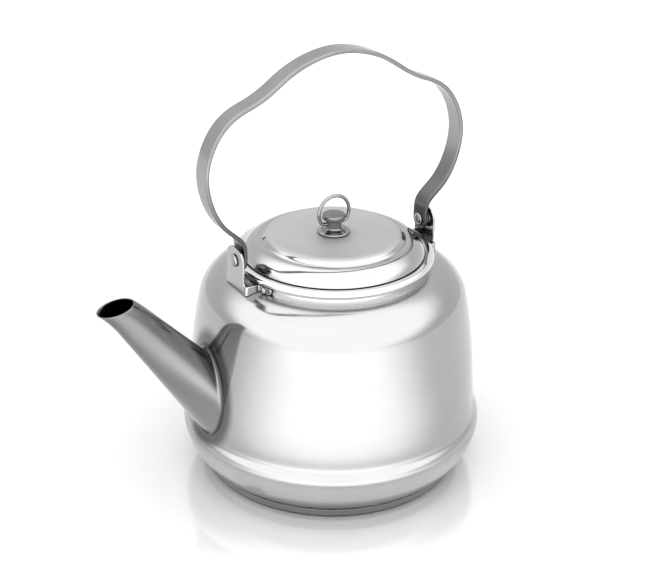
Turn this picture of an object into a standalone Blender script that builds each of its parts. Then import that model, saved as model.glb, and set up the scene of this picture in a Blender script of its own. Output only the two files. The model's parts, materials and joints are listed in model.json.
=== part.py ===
"""Stainless steel stovetop kettle: spun body, neck, tapered spout, hinged strap handle and lift-off lid.

The flat bottom rests on Z = 0 round the Z axis, the spout points to -X and the handle stands in the XZ plane.
Sizes below are in millimetres, and every mesh is made in metres.
"""

import math

import bpy
import numpy as np
from mathutils import Matrix

MM = 0.001
GAP = 0.3  # left between pieces that touch
ROUND_STEPS = 48  # sides of the big turned pieces
SMALL_STEPS = 20  # sides of knobs, rivets and washers

# Body, base and neck
WALL = 0.8
SHOULDER_TOP = 140.2
MOUTH_RADIUS = 60.5
BULGE_RADIUS = 100.0
BASE_SEAM_RADIUS = 87.4
BASE_SEAM_HEIGHT = 7.4
NECK_RADIUS = 62.0
NECK_FOOT = 140.6

# Spout: a cone on a sloping axis
SPOUT_ROOT = np.array([-95.3, 0.0, 74.6])
SPOUT_MOUTH = np.array([-152.5, 0.0, 144.5])
SPOUT_LEAN = math.radians(38.54)  # from upright
SPOUT_ROOT_RADIUS = 19.1
SPOUT_TAPER = 0.101  # radius lost per millimetre of axis
SPOUT_WALL = 1.0
SPOUT_SIDES = 32
LIP_TILT = math.radians(12.0)
LIP_LENGTH = 12.4  # half the lip's opening, along the spout
LIP_WIDTH = 10.0  # half the lip's opening, across the spout
STRAINER_CENTRE = 74.0
STRAINER_PITCH = 7.4
STRAINER_HOLE = 2.4

# Handle and its pivots
PIVOT_HEIGHT = 158.6
STRAP_WIDTH = 14.0
STRAP_THICKNESS = 2.6
STRAP_LEG = 67.3  # from the kettle's axis to the middle of a leg
PIVOT_PIN = 2.0
PIVOT_HOLE = 2.3
PIVOT_HEADS = (4.0, 4.2)  # inner and outer head radius
WASHER_RADIUS = 5.5
WASHER_THICKNESS = 1.2

# Ears
EAR_THICKNESS = 1.4
EAR_HALF_WIDTH = 11.0
EAR_TOP = 167.3
TAB_ROUNDNESS = 2.4  # 2 is a half circle, more is squarer
WING_TOP = 145.1
WING_RADIUS = 63.3  # middle of the wing's sheet
WING_END_ANGLE = 22.0  # degrees round from the ear's middle
WING_RIVET_ANGLE = math.radians(16.8)
BEND_RADIUS = 1.6
WEB_OFFSET = 2.6  # from the tab's side to the sheet that runs in to the neck
EAR_CLEARANCE = 0.45  # between the ear's foot and the shoulder
WING_RIVET_HEIGHT = 142.9
WING_PIN = 1.2
WING_HEADS = (2.0, 2.2)  # inner and outer head radius
WING_HOLE = 1.5

# Lid, knob and ring
LID_TOP = 162.8
LID_SHEET = 0.8
SKIRT_SHEET = 0.7
VENT_ANGLE = math.radians(157.0)
VENT_RADIUS = 1.2
KNOB_BOTTOM = LID_TOP + 0.4
KNOB_RADIUS = 7.6
KNOB_FOOT_RADIUS = 10.7
SCREW_RADIUS = 2.0
RING_HINGE_HEIGHT = 169.3
RING_CENTRE = 176.5
RING_RADIUS = 11.2
RING_WIRE = 1.15
RING_HOLE = 1.5


# ---------------------------------------------------------------- shapes


def smooth_curve(points, per_span=2):
    """Catmull-Rom curve through the points, with per_span straight pieces in each span."""
    knots = np.array(points, float)
    padded = np.vstack([2 * knots[0] - knots[1], knots, 2 * knots[-1] - knots[-2]])
    t = np.linspace(0.0, 1.0, per_span, endpoint=False)[:, None]
    spans = []
    for a, b, c, d in zip(padded, padded[1:], padded[2:], padded[3:]):
        cubic = 3 * b - a - 3 * c + d
        spans.append(0.5 * (2 * b + (c - a) * t + (2 * a - 5 * b + 4 * c - d) * t**2 + cubic * t**3))
    return np.vstack(spans + [knots[-1:]])


def offset_line(line, distance):
    """The (radius, height) line moved sideways: positive is out of a line that runs outward and then down."""
    along = np.gradient(line, axis=0)
    along /= np.linalg.norm(along, axis=1, keepdims=True)
    return line + distance * np.stack([-along[:, 1], along[:, 0]], axis=1)


def sheet_outline(outer_face, thickness):
    """Closed section of a bent sheet, from its outer face."""
    return np.vstack([outer_face, offset_line(outer_face, -thickness)[::-1]])


def steel(name, shade, roughness):
    material = bpy.data.materials.new(name)
    material.use_nodes = True
    shader = material.node_tree.nodes["Principled BSDF"]
    shader.inputs["Base Color"].default_value = (shade, shade, shade, 1.0)
    shader.inputs["Metallic"].default_value = 1.0
    shader.inputs["Roughness"].default_value = roughness
    return material


def mesh_object(name, points, edges, faces, material=None):
    mesh = bpy.data.meshes.new(name)
    mesh.from_pydata([tuple(point) for point in np.asarray(points) * MM], edges, faces)
    piece = bpy.data.objects.new(name, mesh)
    bpy.context.collection.objects.link(piece)
    if material:
        mesh.materials.append(material)
    return piece


def turned(name, outline, material=None, steps=ROUND_STEPS, closed=True):
    """Outline of (radius, height) points spun once round Z. An open outline starts and ends on the axis."""
    count = len(outline)
    points = [(radius, 0.0, height) for radius, height in outline]
    edges = [(i, i + 1) for i in range(count - 1)] + ([(count - 1, 0)] if closed else [])
    piece = mesh_object(name, points, edges, [], material)
    screw = piece.modifiers.new("Turn", "SCREW")
    screw.steps = steps
    screw.render_steps = steps
    screw.use_merge_vertices = True
    screw.merge_threshold = 0.00001
    screw.use_smooth_shade = True
    return piece


def skinned(name, rings, material=None):
    """Closed skin over a list of equal rings of points, with a flat face on each end."""
    sides = len(rings[0])
    faces = []
    for lower in range(len(rings) - 1):
        for i in range(sides):
            j = (i + 1) % sides
            start = lower * sides
            faces.append((start + i, start + j, start + sides + j, start + sides + i))
    faces.append(tuple(reversed(range(sides))))
    faces.append(tuple(range((len(rings) - 1) * sides, len(rings) * sides)))
    piece = mesh_object(name, np.vstack(rings), [], faces, material)
    piece.data.shade_smooth()
    piece.data.set_sharp_from_angle(angle=math.radians(35))
    return piece


def peg(name, start, end, radius, sides=SMALL_STEPS):
    """Cutter: a round bar from start to end."""
    start, end = np.array(start, float), np.array(end, float)
    along = (end - start) / np.linalg.norm(end - start)
    across = np.cross(along, (0.0, 0.0, 1.0) if abs(along[2]) < 0.9 else (1.0, 0.0, 0.0))
    across /= np.linalg.norm(across)
    other = np.cross(along, across)
    turn = (np.arange(sides)[:, None] + 0.5) * math.tau / sides
    circle = radius * (np.cos(turn) * across + np.sin(turn) * other)
    return hidden(skinned(name, [start + circle, end + circle]))


def hidden(cutter):
    cutter.hide_render = True
    cutter.display_type = "WIRE"
    return cutter


def cut(piece, cutter):
    boolean = piece.modifiers.new(cutter.name, "BOOLEAN")
    boolean.operation = "DIFFERENCE"
    boolean.solver = "EXACT"
    boolean.object = cutter


def pivot_empty(name, height, parent=None):
    """Empty on the kettle's axis at the given height, which a moving group hangs on."""
    empty = bpy.data.objects.new(name, None)
    bpy.context.collection.objects.link(empty)
    empty["height"] = height
    empty.parent = parent
    empty.location.z = (height - (parent["height"] if parent else 0.0)) * MM
    return empty


def hang(piece, empty):
    """Parents the piece to the empty, with its own origin there too."""
    piece.data.transform(Matrix.Translation((0.0, 0.0, -empty["height"] * MM)))
    piece.parent = empty
    return piece


# ---------------------------------------------------------------- body


def body_line():
    """Outer face of the body, from the mouth across the shoulder and down over the bulge to the base seam."""
    shoulder = [(MOUTH_RADIUS, SHOULDER_TOP), (68.0, 140.0), (75.0, 137.7), (81.0, 133.3), (85.8, 128.0)]
    wall = [(88.8, 118.0), (92.0, 98.0), (94.5, 76.0), (95.2, 56.0), (96.4, 41.5)]
    bulge = [(98.9, 35.5), (BULGE_RADIUS, 29.0), (98.4, 20.5), (94.2, 13.0)]
    seam = [(BASE_SEAM_RADIUS + 0.2, BASE_SEAM_HEIGHT)]
    return np.vstack([smooth_curve(shoulder), wall, bulge, seam])


def shoulder_height(radius):
    shoulder = body_line()[:9]
    return np.interp(radius, shoulder[:, 0], shoulder[:, 1])


def make_body_shell():
    shell = turned("body_shell", sheet_outline(body_line(), WALL), steel("body_steel", 0.72, 0.28))
    for index, (across, up) in enumerate(strainer_holes()):
        hole = peg(f"strainer_cutter_{index}", (-110.0, across, up), (-70.0, across, up), STRAINER_HOLE, 10)
        cut(shell, hole)
    return shell


def strainer_holes():
    """Rows of holes behind the spout, each row half a pitch aside from the last."""
    rows = [(-2, 2), (-1, 3), (0, 4), (1, 3), (2, 2)]
    row_height = STRAINER_PITCH * 1.15
    places = []
    for row, count in rows:
        for column in range(count):
            across = (column - (count - 1) / 2) * STRAINER_PITCH
            places.append((across, STRAINER_CENTRE + row * row_height))
    return places


def make_base_pan():
    seam = BASE_SEAM_RADIUS
    outline = [(0.0, 1.2), (seam - 3.9, 1.2), (seam - 2.2, 3.0), (seam - 2.2, 7.0), (seam, 7.0)]
    outline += [(seam, 5.6), (seam - 1.0, 4.8), (seam - 1.2, 2.2), (seam - 2.9, 0.0), (0.0, 0.0)]
    return turned("base_pan", outline, steel("base_steel", 0.6, 0.3), closed=False)


def make_neck_collar():
    """Short neck with a hollow bead rolled outward at its top and curled back down inside."""
    bead = [(58.6, 146.5), (58.4, 148.6), (59.8, 150.0), (62.2, 150.3)]
    bead += [(64.7, 149.6), (65.5, 148.1), (64.6, 146.6), (62.6, 145.8)]
    line = np.array(bead + [(NECK_RADIUS, 144.8), (NECK_RADIUS, NECK_FOOT)])
    collar = turned("neck_collar", sheet_outline(line, WALL), steel("neck_steel", 0.78, 0.12))
    return collar


# ---------------------------------------------------------------- spout


def spout_rings(inset):
    """Rings from inside the body to the slanted lip, each inset from the outer face."""
    axis = np.array([-math.sin(SPOUT_LEAN), 0.0, math.cos(SPOUT_LEAN)])
    raised = np.array([math.cos(SPOUT_LEAN), 0.0, math.sin(SPOUT_LEAN)])
    aside = np.array([0.0, 1.0, 0.0])
    lip_along = np.array([math.cos(LIP_TILT), 0.0, math.sin(LIP_TILT)])
    turn = np.linspace(0.0, math.tau, SPOUT_SIDES, endpoint=False)[:, None]
    rings = []
    for distance in (-28.0, 0.0, 40.0, 64.0, 74.0):
        radius = SPOUT_ROOT_RADIUS - SPOUT_TAPER * distance - inset
        centre = SPOUT_ROOT + distance * axis
        rings.append(centre + radius * (np.cos(turn) * raised + np.sin(turn) * aside))
    lip = (LIP_LENGTH - inset) * np.cos(turn) * lip_along + (LIP_WIDTH - inset) * np.sin(turn) * aside
    lip = SPOUT_MOUTH + lip
    rings.append(0.5 * (rings[-1] + lip) - 0.35 * (np.sin(turn / 2) ** 2) * raised)
    rings.append(lip)
    return rings


def make_spout_tube():
    """Outer skin joined to the inner skin at both ends, then trimmed to the body's wall."""
    outer, inner = spout_rings(0.0), spout_rings(SPOUT_WALL)
    sides, count = SPOUT_SIDES, len(outer)
    rings = outer + inner[::-1]
    faces = []
    for lower in range(2 * count):
        upper = (lower + 1) % (2 * count)
        for i in range(sides):
            j = (i + 1) % sides
            faces.append((lower * sides + i, upper * sides + i, upper * sides + j, lower * sides + j))
    tube = mesh_object("spout_tube", np.vstack(rings), [], faces, steel("spout_steel", 0.6, 0.12))
    tube.data.shade_smooth()
    tube.data.set_sharp_from_angle(angle=math.radians(40))
    face = offset_line(body_line(), GAP)
    envelope = np.vstack([[(0.0, face[0, 1])], face, [(0.0, face[-1, 1])]])
    cut(tube, hidden(turned("body_envelope_cutter", envelope, closed=False)))
    return tube


# ---------------------------------------------------------------- ears and rivets


def arc(centre, radius, start, end, count):
    """Points on a circle from one angle to another, in degrees."""
    turn = np.radians(np.linspace(start, end, count))
    return np.stack([centre[0] + radius * np.cos(turn), centre[1] + radius * np.sin(turn)], axis=1)


def ear_columns():
    """Half an ear, as (x, y, top height) columns: the upright tab, then the wing bent back to the neck."""
    tab = STRAP_LEG + STRAP_THICKNESS / 2 + WASHER_THICKNESS + 2 * GAP + EAR_THICKNESS / 2
    rise = EAR_TOP - PIVOT_HEIGHT
    columns = []
    for turn in np.linspace(0.0, math.pi / 2, 8):
        across = math.sin(turn)
        top = PIVOT_HEIGHT + rise * (1.0 - across**TAB_ROUNDNESS) ** (1 / TAB_ROUNDNESS)
        columns.append((tab, EAR_HALF_WIDTH * across, top))
    columns.append((tab, EAR_HALF_WIDTH + 0.3, WING_TOP))
    web = EAR_HALF_WIDTH + WEB_OFFSET
    outer_bend = arc((tab - BEND_RADIUS, web - BEND_RADIUS), BEND_RADIUS, 0.0, 90.0, 4)
    aside = web + BEND_RADIUS
    inward = math.sqrt((WING_RADIUS + BEND_RADIUS) ** 2 - aside**2)
    meeting = math.degrees(math.atan2(aside, inward))
    inner_bend = arc((inward, aside), BEND_RADIUS, -90.0, meeting - 180.0, 4)
    hug = arc((0.0, 0.0), WING_RADIUS, meeting + 1.2, WING_END_ANGLE, 4)
    for x, y in np.vstack([outer_bend, inner_bend, hug]):
        columns.append((x, y, WING_TOP))
    return columns


def make_ear(name, side, bore, material):
    half = ear_columns()
    full = np.array([(x, -y, top) for x, y, top in half[:0:-1]] + half)
    along = np.gradient(full[:, :2], axis=0)
    along /= np.linalg.norm(along, axis=1, keepdims=True)
    outward = np.stack([along[:, 1], -along[:, 0]], axis=1) * EAR_THICKNESS / 2
    outer, inner = full[:, :2] + outward, full[:, :2] - outward
    foot = shoulder_height(np.hypot(full[:, 0], full[:, 1])) + EAR_CLEARANCE
    rings = []
    for i in range(len(full)):
        corners = ((outer[i], foot[i]), (outer[i], full[i, 2]), (inner[i], full[i, 2]), (inner[i], foot[i]))
        rings.append(np.array([(side * xy[0], side * xy[1], z) for xy, z in corners]))
    ear = skinned(name, rings, material)
    cut(ear, bore)
    return ear


def pin_outline(radius, stretch, heads):
    """Closed solid of a rivet along its own axis: a shank with a domed head on each end."""
    low, high = stretch
    (low_radius, low_face), (high_radius, high_face) = heads
    outline = [(0.0, high), (high_radius * 0.55, high - 0.15), (high_radius, high_face + 0.5)]
    outline += [(high_radius, high_face), (radius, high_face), (radius, low_face), (low_radius, low_face)]
    outline += [(low_radius, low_face - 0.5), (low_radius * 0.55, low + 0.15), (0.0, low)]
    return outline


def make_pivots(side, end, material):
    """The rivet through ear, washer and strap, and the washer between ear and strap."""
    strap_face = STRAP_LEG + STRAP_THICKNESS / 2
    ear_face = strap_face + WASHER_THICKNESS + 2 * GAP + EAR_THICKNESS
    inner_face = STRAP_LEG - STRAP_THICKNESS / 2 - GAP
    heads = ((PIVOT_HEADS[0], inner_face), (PIVOT_HEADS[1], ear_face + GAP))
    rivet = turned(
        f"{end}_pivot_rivet",
        pin_outline(PIVOT_PIN, (inner_face - 1.5, ear_face + GAP + 2.0), heads),
        material,
        steps=SMALL_STEPS,
        closed=False,
    )
    low = strap_face + GAP
    high = low + WASHER_THICKNESS
    washer_outline = [(PIVOT_HOLE, high), (WASHER_RADIUS, high), (WASHER_RADIUS, low), (PIVOT_HOLE, low)]
    washer = turned(f"{end}_pivot_washer", washer_outline, material, steps=SMALL_STEPS)
    for piece in (rivet, washer):
        piece.rotation_euler = (0.0, side * math.pi / 2, 0.0)
        piece.location.z = PIVOT_HEIGHT * MM


def make_wing_rivet(name, angle, pieces, material):
    """Small rivet through an ear's wing and the neck, on a radius of the kettle."""
    wing_face = WING_RADIUS + EAR_THICKNESS / 2 + GAP
    neck_face = NECK_RADIUS - WALL - GAP
    inner, outer = WING_HEADS
    stretch = (neck_face - 0.9, wing_face + 1.4)
    outline = pin_outline(WING_PIN, stretch, ((inner, neck_face), (outer, wing_face)))
    rivet = turned(name, outline, material, steps=12, closed=False)
    rivet.rotation_euler = (0.0, math.pi / 2, angle)
    rivet.location.z = WING_RIVET_HEIGHT * MM
    outward = np.array([math.cos(angle), math.sin(angle), 0.0])
    centre = np.array([0.0, 0.0, WING_RIVET_HEIGHT])
    inside, outside = neck_face - 3.0, wing_face + 3.0
    hole = peg(f"{name}_cutter", centre + inside * outward, centre + outside * outward, WING_HOLE, 12)
    for piece in pieces:
        cut(piece, hole)


# ---------------------------------------------------------------- handle


def handle_line():
    """Middle of the strap in the XZ plane: leg, reverse bend, side bow and top arc, then mirrored."""
    leg = [(STRAP_LEG, 151.8), (STRAP_LEG, 153.2), (STRAP_LEG, PIVOT_HEIGHT), (STRAP_LEG, 167.2)]
    bow = [(68.6, 171.4), (72.5, 175.9), (79.0, 181.8), (86.3, 192.3)]
    bow += [(91.0, 205.5), (92.4, 218.0), (90.2, 230.4)]
    crown = [(85.3, 241.0), (77.5, 250.2), (69.0, 255.6), (60.0, 259.2), (49.0, 264.9), (41.0, 270.4)]
    top = [(30.6, 276.6), (16.0, 282.0), (0.0, 284.2)]
    half = smooth_curve(leg + bow + crown + top, 3)
    return np.vstack([half, half[-2::-1] * (-1.0, 1.0)])


def make_handle_strap(bore, material):
    line = handle_line()
    face = (offset_line(line, 1.0) - line) * STRAP_THICKNESS / 2
    below = np.clip(PIVOT_HEIGHT - line[:, 1], 0.0, None)
    half_width = np.sqrt((STRAP_WIDTH / 2) ** 2 - below**2)
    rings = []
    for (x, z), (dx, dz), width in zip(line, face, half_width):
        corners = [(x - dx, -width, z - dz), (x + dx, -width, z + dz), (x + dx, width, z + dz)]
        rings.append(np.array(corners + [(x - dx, width, z - dz)]))
    strap = skinned("handle_strap", rings, material)
    cut(strap, bore)
    return strap


# ---------------------------------------------------------------- lid


def make_lid_cap():
    """Pressed lid: flat top, step down to a groove and a round outer bead."""
    rim = [(41.8, LID_TOP), (43.9, 162.2), (45.0, 160.8), (46.4, 159.4), (48.6, 159.2)]
    rim += [(52.6, 158.1), (56.4, 155.8), (58.9, 152.9), (59.5, 150.5)]
    line = np.array([(PIVOT_HOLE, LID_TOP)] + rim)
    lid = turned("lid_cap", sheet_outline(line, LID_SHEET), steel("lid_steel", 0.75, 0.16))
    outward = np.array([math.cos(VENT_ANGLE), math.sin(VENT_ANGLE), 0.0])
    low, high = 41.8 * outward + (0.0, 0.0, 157.2), 48.8 * outward + (0.0, 0.0, 163.4)
    cut(lid, peg("vent_cutter", low, high, VENT_RADIUS, 10))
    return lid


def make_lid_skirt(material):
    """Plain ring under the lid that keeps it centred in the neck, its foot curled slightly inward."""
    turn_down = [(48.8, 157.7), (52.2, 156.6), (55.3, 154.4), (56.9, 152.0)]
    line = np.array(turn_down + [(57.0, 143.4), (56.2, 141.9)])
    return turned("lid_skirt", sheet_outline(line, SKIRT_SHEET), material)


def make_knob(material):
    """Spool-shaped knob with a blind hole below and a cross hole in its waist for the ring."""
    waist = 5.0
    outline = [(0.0, 175.6), (KNOB_RADIUS - 1.0, 175.6), (KNOB_RADIUS, 174.9), (KNOB_RADIUS, 173.0)]
    outline += [(KNOB_RADIUS - 1.0, 172.2), (waist + 0.2, 171.7), (waist, 170.8), (waist, 166.6)]
    outline += [(waist + 1.0, 165.3), (KNOB_FOOT_RADIUS - 0.4, 164.6), (KNOB_FOOT_RADIUS, 164.1)]
    outline += [(KNOB_FOOT_RADIUS, KNOB_BOTTOM), (PIVOT_HOLE, KNOB_BOTTOM), (PIVOT_HOLE, 167.2), (0.0, 167.2)]
    knob = turned("knob_spool", outline, material, steps=24, closed=False)
    reach = waist + 2.0
    left, right = (-reach, 0.0, RING_HINGE_HEIGHT), (reach, 0.0, RING_HINGE_HEIGHT)
    cut(knob, peg("ring_hole_cutter", left, right, RING_HOLE, 12))
    return knob


def make_knob_screw(material):
    head, face = 4.0, 160.7
    outline = [(0.0, 166.9), (SCREW_RADIUS, 166.9), (SCREW_RADIUS, face), (head, face)]
    outline += [(head, face - 0.9), (head - 0.8, face - 1.8), (0.0, face - 1.8)]
    return turned("knob_screw", outline, material, steps=SMALL_STEPS, closed=False)


def make_knob_washer(material):
    low, high = 161.0, 161.7
    outline = [(PIVOT_HOLE, high), (5.6, high), (5.6, low), (PIVOT_HOLE, low)]
    return turned("knob_washer", outline, material, steps=SMALL_STEPS)


def make_lid_ring(material):
    """Wire ring standing on the knob, its two ends bent inward into the cross hole."""
    half = [(2.3, RING_HINGE_HEIGHT), (5.0, RING_HINGE_HEIGHT), (7.3, RING_HINGE_HEIGHT + 0.1)]
    for angle in np.radians(np.arange(-36.0, 90.1, 14.0)):
        half.append((RING_RADIUS * math.cos(angle), RING_CENTRE + RING_RADIUS * math.sin(angle)))
    line = np.vstack([half, np.array(half)[-2::-1] * (-1.0, 1.0)])
    side = offset_line(line, 1.0) - line
    turn = np.linspace(0.0, math.tau, 8, endpoint=False)
    rings = []
    for (x, z), (dx, dz) in zip(line, side):
        out, across = RING_WIRE * np.cos(turn), -RING_WIRE * np.sin(turn)
        rings.append(np.stack([x + out * dx, across, z + out * dz], axis=1))
    return skinned("lid_ring", rings, material)


# ---------------------------------------------------------------- the whole kettle


def clear_scene():
    for item in list(bpy.data.objects):
        bpy.data.objects.remove(item, do_unlink=True)


def build():
    clear_scene()
    strap_steel = steel("strap_steel", 0.5, 0.35)
    ear_steel = steel("ear_steel", 0.62, 0.25)
    rivet_steel = steel("rivet_steel", 0.6, 0.2)
    knob_steel = steel("knob_steel", 0.55, 0.15)
    inner_steel = steel("inner_steel", 0.6, 0.3)

    make_body_shell()
    make_base_pan()
    make_spout_tube()
    collar = make_neck_collar()

    bore_reach = STRAP_LEG + 8.0
    bore = peg("pivot_bore_cutter", (-bore_reach, 0, PIVOT_HEIGHT), (bore_reach, 0, PIVOT_HEIGHT), PIVOT_HOLE)
    for side, end in ((-1, "front"), (1, "rear")):
        ear = make_ear(f"{end}_ear", side, bore, ear_steel)
        make_pivots(side, end, rivet_steel)
        for hand, swing in (("left", -side), ("right", side)):
            middle = math.pi if side < 0 else 0.0
            angle = middle + side * swing * WING_RIVET_ANGLE
            make_wing_rivet(f"{end}_wing_rivet_{hand}", angle, (ear, collar), rivet_steel)

    handle_pivot = pivot_empty("handle_pivot", PIVOT_HEIGHT)
    hang(make_handle_strap(bore, strap_steel), handle_pivot)

    lid_seat = pivot_empty("lid_seat", LID_TOP)
    hang(make_lid_cap(), lid_seat)
    hang(make_lid_skirt(inner_steel), lid_seat)
    hang(make_knob(knob_steel), lid_seat)
    hang(make_knob_screw(rivet_steel), lid_seat)
    hang(make_knob_washer(rivet_steel), lid_seat)

    ring_pivot = pivot_empty("ring_pivot", RING_HINGE_HEIGHT, lid_seat)
    hang(make_lid_ring(knob_steel), ring_pivot)


build()
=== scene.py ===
"""Looks of the stainless steel stovetop kettle.

Every visible piece is a numpy surface in millimetres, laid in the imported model's frame: the flat bottom is
on Z = 0, the kettle's axis is Z, the spout points to -X and the handle stands in the XZ plane.
"""

import json
import math

import bpy
import numpy as np
from mathutils import Matrix, Vector


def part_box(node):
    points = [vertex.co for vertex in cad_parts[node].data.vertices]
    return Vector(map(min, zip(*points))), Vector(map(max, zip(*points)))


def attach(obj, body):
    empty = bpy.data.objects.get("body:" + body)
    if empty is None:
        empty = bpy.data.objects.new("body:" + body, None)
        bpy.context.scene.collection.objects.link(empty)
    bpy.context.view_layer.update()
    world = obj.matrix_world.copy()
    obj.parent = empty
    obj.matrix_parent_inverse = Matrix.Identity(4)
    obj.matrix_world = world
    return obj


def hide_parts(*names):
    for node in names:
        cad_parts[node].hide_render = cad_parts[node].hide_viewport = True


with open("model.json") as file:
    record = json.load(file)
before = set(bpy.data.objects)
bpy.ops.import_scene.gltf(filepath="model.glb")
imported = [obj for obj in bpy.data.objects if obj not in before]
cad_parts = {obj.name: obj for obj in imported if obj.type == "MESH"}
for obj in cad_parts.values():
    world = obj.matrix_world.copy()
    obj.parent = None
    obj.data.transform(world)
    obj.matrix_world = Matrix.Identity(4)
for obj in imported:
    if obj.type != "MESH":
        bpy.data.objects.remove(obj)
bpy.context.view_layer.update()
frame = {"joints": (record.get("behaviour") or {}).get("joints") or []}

MM = 0.001
joints = {joint["name"]: joint for joint in frame["joints"]}

ROUND_STEPS = 192  # facets round the big turned pieces
SMALL_STEPS = 64  # facets round knob, rivets and washers
UP = np.array([0.0, 0.0, 1.0])
ASIDE = np.array([0.0, 1.0, 0.0])

# Body, neck and lid
SHEET = 0.8
MOUTH_RADIUS = 60.5
SHOULDER_TOP = 140.9
NECK_RADIUS = 62.0  # outside
NECK_FOOT = 140.3
BASE_SEAM_RADIUS = 87.4
LID_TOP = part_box("lid_cap")[1].z / MM
VENT_ANGLE = math.radians(157.0)
VENT_RADIUS = 1.2
SKIRT_SHEET = 0.7

# Spout: a cone on a sloping axis
SPOUT_ROOT = np.array([-95.3, 0.0, 74.6])
SPOUT_MOUTH = np.array([-152.5, 0.0, 144.5])
SPOUT_LEAN = math.radians(38.54)  # from upright
SPOUT_ROOT_RADIUS = 19.1
SPOUT_TAPER = 0.101
SPOUT_WALL = 1.0
SPOUT_STEPS = 128
SPOUT_FILLET = (0.6, 4.8)  # how far the root spreads over the body's wall, below and above
LIP_START = 16.0  # the oval lip begins this far below the mouth
LIP_TILT = math.radians(12.0)
LIP_LENGTH = 12.2
LIP_WIDTH = 10.0
STRAINER_CENTRE = 74.0
STRAINER_PITCH = 7.4
STRAINER_HOLE = 2.4

# Handle, pivots and ears
PIVOT_HEIGHT = joints["handle_fold"]["pos_m"][2] / MM
STRAP_LEG = 67.3
STRAP_WIDTH = 14.0
STRAP_THICKNESS = 2.6
STRAP_EDGE = 0.9  # rounding of the strap's edges
PIVOT_PIN = 2.0
PIVOT_HOLE = 2.3
WASHER_THICKNESS = 1.2
GAP = 0.3
EAR_THICKNESS = 1.4
EAR_EDGE = 0.4
EAR_HALF_WIDTH = 11.0
EAR_TOP = 167.3
WING_TOP = 145.1
WING_RADIUS = 63.3
WING_END_ANGLE = math.radians(22.0)
WING_RIVET_ANGLE = math.radians(16.8)
WING_RIVET_HEIGHT = 142.9
WING_PIN = 1.2
WING_HOLE = 1.5
WEB_OFFSET = 2.6  # how far the bent webs stand outside the tab's half width
PIVOT_HEADS = (4.0, 4.2)  # radii of the rivet's tail and head
WING_HEADS = (2.0, 2.2)
WASHER_RADIUS = 5.5

# Knob and ring
KNOB_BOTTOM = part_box("knob_spool")[0].z / MM
KNOB_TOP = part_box("knob_spool")[1].z / MM
KNOB_RADIUS = 7.6
KNOB_WAIST = 5.0
KNOB_FOOT_RADIUS = 10.7
RING_HINGE_HEIGHT = joints["ring_swing"]["pos_m"][2] / MM
RING_CENTRE = 176.5
RING_RADIUS = 11.2
RING_WIRE = 1.15  # radius of the wire
RING_HOLE = 1.45
SCREW_RADIUS = 2.0
SCREW_HOLE = 2.3
SCREW_HEAD = 4.0


# ---------------------------------------------------------------- lines


def smooth(knots, spacing=1.0):
    """Natural cubic spline through the knots on chord length.

    Its second slopes m solve h[i-1] m[i-1] + 2 (h[i-1] + h[i]) m[i] + h[i] m[i+1] = 6 (change of the
    chord's slope), with m = 0 at both ends, and it is sampled about every spacing millimetres.
    """
    knots = np.asarray(knots, float)
    count = len(knots)
    step = np.diff(knots, axis=0)
    chord = np.linalg.norm(step, axis=1)
    place = np.concatenate([[0.0], np.cumsum(chord)])
    inner = np.arange(1, count - 1)
    system = np.eye(count)
    system[inner, inner - 1] = chord[:-1]
    system[inner, inner] = 2.0 * (chord[:-1] + chord[1:])
    system[inner, inner + 1] = chord[1:]
    change = np.zeros_like(knots)
    slope = step / chord[:, None]
    change[inner] = 6.0 * (slope[1:] - slope[:-1])
    bend = np.linalg.solve(system, change)
    sample = np.linspace(0.0, place[-1], int(place[-1] / spacing) + 2)
    i = np.clip(np.searchsorted(place, sample, side="right") - 1, 0, count - 2)
    width = chord[i, None]
    near = (place[i + 1] - sample)[:, None] / width
    far = 1.0 - near
    cubic = (near**3 - near) * bend[i] + (far**3 - far) * bend[i + 1]
    return near * knots[i] + far * knots[i + 1] + cubic * width**2 / 6.0


def rounded(corners, radius, steps=6):
    """Straight line through the corners, each inner corner replaced by an arc of its radius.

    The arc starts radius * tan(turn / 2) before the corner, and its spoke turns by the corner's own turn.
    """
    corners = np.asarray(corners, float)
    run = np.diff(corners, axis=0)
    run /= np.linalg.norm(run, axis=1, keepdims=True)
    before, after = run[:-1], run[1:]
    cross = before[:, 0] * after[:, 1] - before[:, 1] * after[:, 0]
    turn = np.arctan2(cross, (before * after).sum(axis=1))
    radius = np.broadcast_to(radius, turn.shape)[:, None]
    side = np.stack([-before[:, 1], before[:, 0]], axis=1) * np.sign(turn)[:, None]
    centre = corners[1:-1] - before * radius * np.tan(np.abs(turn) / 2.0)[:, None] + side * radius
    spoke = (-side * radius)[:, None]
    swing = turn[:, None] * np.linspace(0.0, 1.0, steps)
    arc_x = spoke[..., 0] * np.cos(swing) - spoke[..., 1] * np.sin(swing)
    arc_y = spoke[..., 0] * np.sin(swing) + spoke[..., 1] * np.cos(swing)
    arcs = centre[:, None] + np.stack([arc_x, arc_y], axis=-1)
    return np.vstack([corners[:1], arcs.reshape(-1, 2), corners[-1:]])


def lengths(line):
    """Distance along the line from its start to each of its points."""
    return np.concatenate([[0.0], np.cumsum(np.linalg.norm(np.diff(line, axis=0), axis=1))])


def resampled(line, count):
    """The line at count places evenly spaced along its length."""
    length = lengths(line)
    place = np.linspace(0.0, length[-1], count)
    return np.stack([np.interp(place, length, column) for column in line.T], axis=1)


def headings(line):
    """Unit direction along a plane line, and the unit normal a quarter turn to its left."""
    along = np.gradient(line, axis=0)
    along /= np.linalg.norm(along, axis=1, keepdims=True)
    return along, np.stack([-along[:, 1], along[:, 0]], axis=1)


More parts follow.
